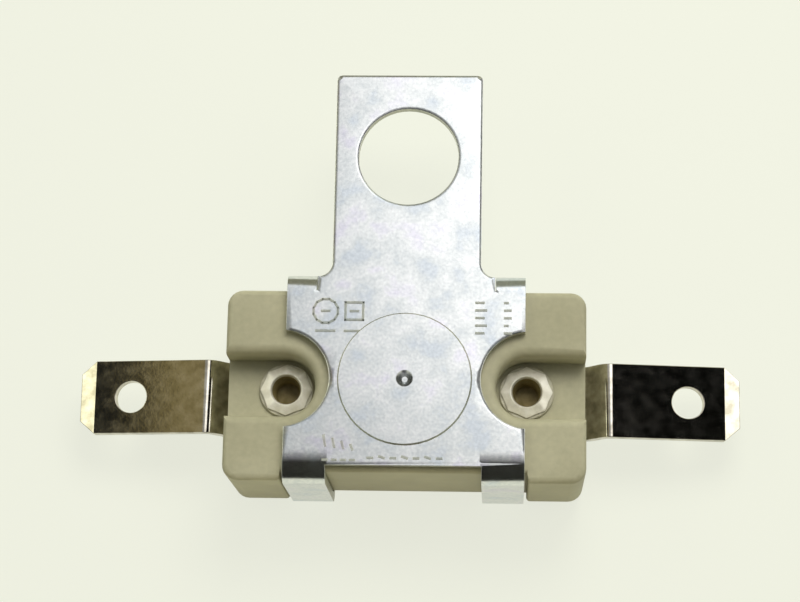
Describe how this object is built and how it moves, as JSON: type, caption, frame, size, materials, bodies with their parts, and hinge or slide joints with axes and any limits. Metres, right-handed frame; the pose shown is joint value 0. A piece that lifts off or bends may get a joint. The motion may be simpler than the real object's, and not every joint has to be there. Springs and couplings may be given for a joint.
{
  "type": "thermal cutout",
  "caption": "Bimetal thermal cutout in a ceramic block, with blade terminals at both ends and a folded sheet bracket whose tongue has a mounting hole.",
  "frame": {"origin": "middle of the part's footprint, on the plane that the four folded lugs rest on", "axes": "+X from the left terminal to the right terminal, +Y towards the end of the mounting tongue, +Z out of the bracket's face"},
  "size_m": [0.057, 0.0352, 0.0125],
  "materials": {
    "ceramic": "fired steatite, satin",
    "bracket_sheet": "zinc plated steel sheet, mottled",
    "terminal": "nickel plated strip, smooth",
    "rivet": "nickel plated, rolled rim",
    "bimetal": "rolled bimetal",
    "spring": "beryllium copper strip",
    "contact": "silver",
    "pin": "alumina",
    "cover_plate": "pressed mica"
  },
  "bodies": {
    "base": {"housing": "ceramic", "rear_cover": "cover_plate", "bracket": "bracket_sheet", "terminal_left": "terminal", "terminal_right": "terminal", "rivet_left": "rivet", "rivet_right": "rivet", "washer_left": "rivet", "washer_right": "rivet", "bimetal_disc": "bimetal", "contact_blade": "spring", "fixed_contact": "contact"},
    "pin": {"transfer_pin": "pin"},
    "contact": {"moving_contact": "contact"}
  },
  "joints": [
    {"name": "pin_slide", "type": "slide", "parent": "base", "child": "pin", "axis": [0, 0, -1], "range_m": [0, 0.00025], "stiffness_N_per_m": 20, "deforming": ["bimetal_disc", "contact_blade"]},
    {"name": "contact_lift", "type": "slide", "parent": "base", "child": "contact", "axis": [0, 0, -1], "range_m": [0, 0.0004]}
  ],
  "couplings": [
    {"joint": "contact_lift", "follows": "pin_slide", "ratio": 1.6}
  ]
}
